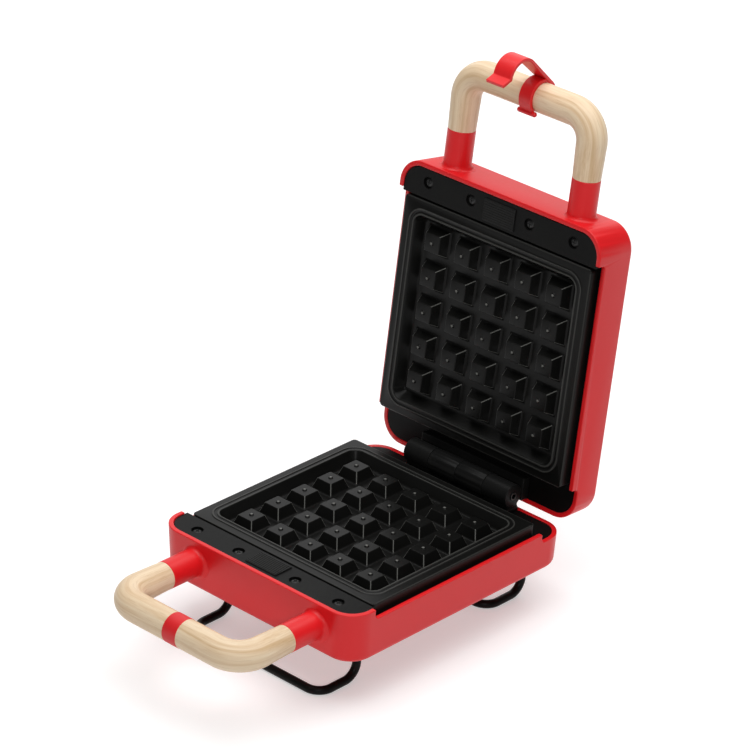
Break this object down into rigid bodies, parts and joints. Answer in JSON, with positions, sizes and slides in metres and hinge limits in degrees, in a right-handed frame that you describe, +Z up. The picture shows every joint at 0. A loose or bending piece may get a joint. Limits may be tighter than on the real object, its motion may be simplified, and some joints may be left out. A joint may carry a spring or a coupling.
{
  "type": "electric waffle maker with hinged lid",
  "caption": "Compact electric waffle press with a hinged lid, lift-out studded plates, bar handles with a latch clip and wire legs.",
  "frame": {"origin": "centre of the open machine's footprint box, on the table", "axes": "+Z up, +X to the right of someone facing the handles, +Y towards the hinge"},
  "size_m": [0.15, 0.2873, 0.3114],
  "materials": {
    "red_paint": "satin",
    "black_plastic": "fine matte grain",
    "button_plastic": "ribbed matte",
    "non_stick_coating": "satin non-stick coating",
    "pale_wood": "clear satin varnish",
    "red_band": "smooth",
    "red_clip": "semi-gloss",
    "hinge_black": "semi-matte powder coat",
    "black_wire": "semi-gloss powder coat",
    "dark_steel": "blackened",
    "bright_steel": "zinc plated",
    "bright_sheet": "mill finish",
    "heater_sheath": "oxidised sheath",
    "ceramic": "unglazed ceramic",
    "gland_rubber": "matte",
    "red_lens": "clear tint",
    "green_lens": "clear tint"
  },
  "bodies": {
    "base": {"base_casing": "red_paint", "base_inner_frame": "black_plastic", "base_panel_screws": "dark_steel", "base_release_springs": "bright_steel", "base_heating_element": "heater_sheath", "base_heater_cradles": "ceramic", "base_heat_reflector": "bright_sheet", "base_reflector_screws": "bright_steel", "base_thermostat": "ceramic", "base_terminal_block": "ceramic", "base_grip": "pale_wood", "base_handle_bolts": "bright_steel", "base_grip_band": "red_band", "front_leg": "black_wire", "rear_leg": "black_wire", "leg_push_nuts": "bright_steel", "hinge_base_bracket": "hinge_black", "hinge_base_screws": "dark_steel", "hinge_pin": "dark_steel", "cord_gland": "gland_rubber"},
    "lid": {"lid_casing": "red_paint", "lid_inner_frame": "black_plastic", "lid_panel_screws": "dark_steel", "lid_release_springs": "bright_steel", "lid_heating_element": "heater_sheath", "lid_heater_cradles": "ceramic", "lid_heat_reflector": "bright_sheet", "lid_reflector_screws": "bright_steel", "lid_thermostat": "ceramic", "lid_terminal_block": "ceramic", "lid_grip": "pale_wood", "lid_handle_bolts": "bright_steel", "hinge_lid_bracket": "hinge_black", "hinge_lid_screws": "dark_steel", "power_lamp": "red_lens", "ready_lamp": "green_lens"},
    "base_plate_body": {"base_plate": "non_stick_coating"},
    "lid_plate_body": {"lid_plate": "non_stick_coating"},
    "base_button": {"base_release_button": "button_plastic"},
    "lid_button": {"lid_release_button": "button_plastic"},
    "clip": {"latch_clip": "red_clip"}
  },
  "joints": [
    {"name": "lid_hinge", "type": "hinge", "parent": "base", "child": "lid", "pos_m": [0, 0.09166, 0.05895], "axis": [-1, 0, 0], "range_deg": [-96.65, 0]},
    {"name": "base_plate_lift", "type": "slide", "parent": "base", "child": "base_plate_body", "axis": [0, 0, 1], "range_m": [0, 0.012]},
    {"name": "lid_plate_lift", "type": "slide", "parent": "lid", "child": "lid_plate_body", "axis": [0, -0.9933, 0.1158], "range_m": [0, 0.012]},
    {"name": "base_release_slide", "type": "slide", "parent": "base", "child": "base_button", "axis": [0, -1, 0], "range_m": [0, 0.0022], "stiffness_N_per_m": 300, "springref_m": -0.002, "deforming": ["base_release_springs"]},
    {"name": "lid_release_slide", "type": "slide", "parent": "lid", "child": "lid_button", "axis": [0, 0.1158, 0.9933], "range_m": [0, 0.0022], "stiffness_N_per_m": 300, "springref_m": -0.002, "deforming": ["lid_release_springs"]},
    {"name": "clip_pivot", "type": "hinge", "parent": "lid", "child": "clip", "pos_m": [0, 0.1326, 0.28231], "axis": [-1, 0, 0], "range_deg": [-34.9, 60]}
  ]
}
